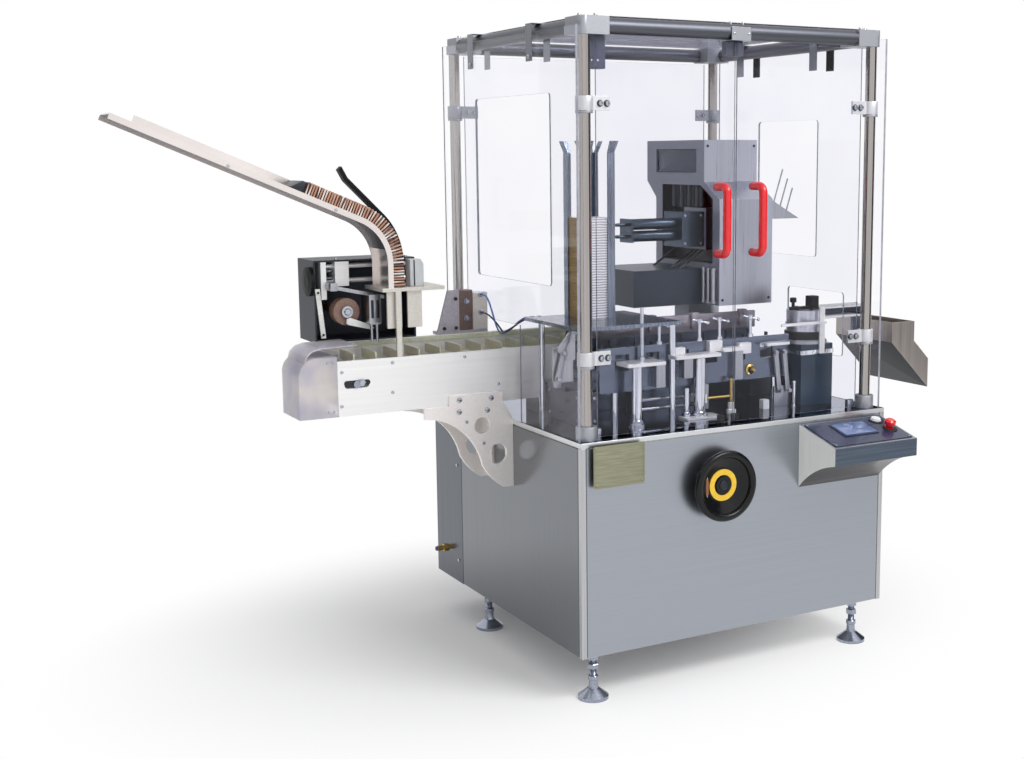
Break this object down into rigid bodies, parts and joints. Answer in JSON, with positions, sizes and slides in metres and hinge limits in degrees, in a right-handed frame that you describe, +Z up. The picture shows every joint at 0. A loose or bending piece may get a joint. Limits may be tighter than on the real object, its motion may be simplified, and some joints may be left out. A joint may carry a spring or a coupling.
{
  "type": "automatic cartoner",
  "caption": "Packaging machine that erects cartons inside a clear guard, fed by a bucket conveyor and blister chute, with a discharge chute.",
  "frame": {"origin": "on the floor, at the centre of the machine's bounding box", "axes": "+X along the flow of product from the feeder to the discharge chute, +Y from the front to the back, +Z up"},
  "size_m": [2.9012, 1.358, 2.156],
  "materials": {
    "brushed_stainless": "vertical grain stainless sheet",
    "satin_stainless": "satin stainless sheet",
    "polished_deck": "mirror polished stainless plate",
    "zinc_steel": "bright zinc plated steel",
    "polished_tube": "polished stainless tube",
    "cast_aluminium": "bead blasted aluminium",
    "milled_aluminium": "milled aluminium plate",
    "clear_acrylic": "clear acrylic sheet",
    "smoked_acrylic": "smoked acrylic",
    "red_nylon": "glossy red plastic",
    "blue_black_plastic": "dark moulded plastic",
    "bucket_plastic": "pale moulded plastic",
    "dark_anodised": "dark anodised aluminium",
    "brown_rubber": "brown polyurethane tread",
    "black_plastic": "glossy black phenolic",
    "blister_foil": "copper foil and clear film",
    "valve_body": "moulded valve body",
    "carton_board": "folding carton board",
    "hard_chrome": "ground chrome rod",
    "grey_paint": "grey painted sheet",
    "white_belt": "white toothed belt",
    "blue_panel": "dark blue control foil",
    "white_lens": "white push button",
    "yellow_plastic": "yellow ring"
  },
  "bodies": {
    "machine": {"cabinet_core": "brushed_stainless", "front_panel": "satin_stainless", "side_panels": "brushed_stainless", "rear_cabinet": "brushed_stainless", "deck_plate": "polished_deck", "levelling_feet": "zinc_steel", "guard_posts": "polished_tube", "post_collars": "cast_aluminium", "corner_blocks": "cast_aluminium", "top_rails": "polished_tube", "roof_sheet": "clear_acrylic", "door_catch": "satin_stainless", "safety_switches": "blue_black_plastic", "left_guard": "clear_acrylic", "right_guard": "clear_acrylic", "back_guard": "clear_acrylic", "back_clamps": "cast_aluminium", "guard_hangers": "satin_stainless", "conveyor_plates": "milled_aluminium", "conveyor_cover": "clear_acrylic", "bucket_chain": "bucket_plastic", "sprocket_shafts": "zinc_steel", "conveyor_brackets": "cast_aluminium", "feeder_housing": "dark_anodised", "feeder_guides": "milled_aluminium", "feeder_roller": "brown_rubber", "feeder_knob": "black_plastic", "magazine_base": "milled_aluminium", "blister_chute": "satin_stainless", "blister_stack": "blister_foil", "hold_down_bar": "dark_anodised", "valve_bracket": "milled_aluminium", "valve_blocks": "valve_body", "carton_magazine": "satin_stainless", "carton_stack": "carton_board", "carton_track": "milled_aluminium", "track_columns": "hard_chrome", "folder_housing": "grey_paint", "folder_cover": "satin_stainless", "folding_unit": "dark_anodised", "folding_rollers": "dark_anodised", "leaflet_tray": "grey_paint", "smoked_box": "smoked_acrylic", "pressing_drum": "milled_aluminium", "discharge_arm": "milled_aluminium", "discharge_belt": "white_belt", "discharge_chute": "satin_stainless", "operator_box": "satin_stainless", "control_plate": "blue_panel", "start_button": "white_lens", "stop_button": "red_nylon"},
    "left_door": {"left_door_glass": "clear_acrylic", "left_door_hinges": "cast_aluminium", "left_door_handle": "red_nylon"},
    "right_door": {"right_door_glass": "clear_acrylic", "right_door_hinges": "cast_aluminium", "right_door_handle": "red_nylon"},
    "wheel": {"handwheel": "black_plastic", "handwheel_ring": "yellow_plastic"}
  },
  "joints": [
    {"name": "left_door_hinge", "type": "hinge", "parent": "machine", "child": "left_door", "pos_m": [-0.14438, -0.442, 1.496], "axis": [0, 0, -1], "range_deg": [0, 100]},
    {"name": "right_door_hinge", "type": "hinge", "parent": "machine", "child": "right_door", "pos_m": [0.97862, -0.442, 1.496], "axis": [0, 0, 1], "range_deg": [0, 100]},
    {"name": "handwheel_turn", "type": "hinge", "parent": "machine", "child": "wheel", "pos_m": [0.32862, -0.504, 0.658], "axis": [0, -1, 0], "continuous": true}
  ]
}
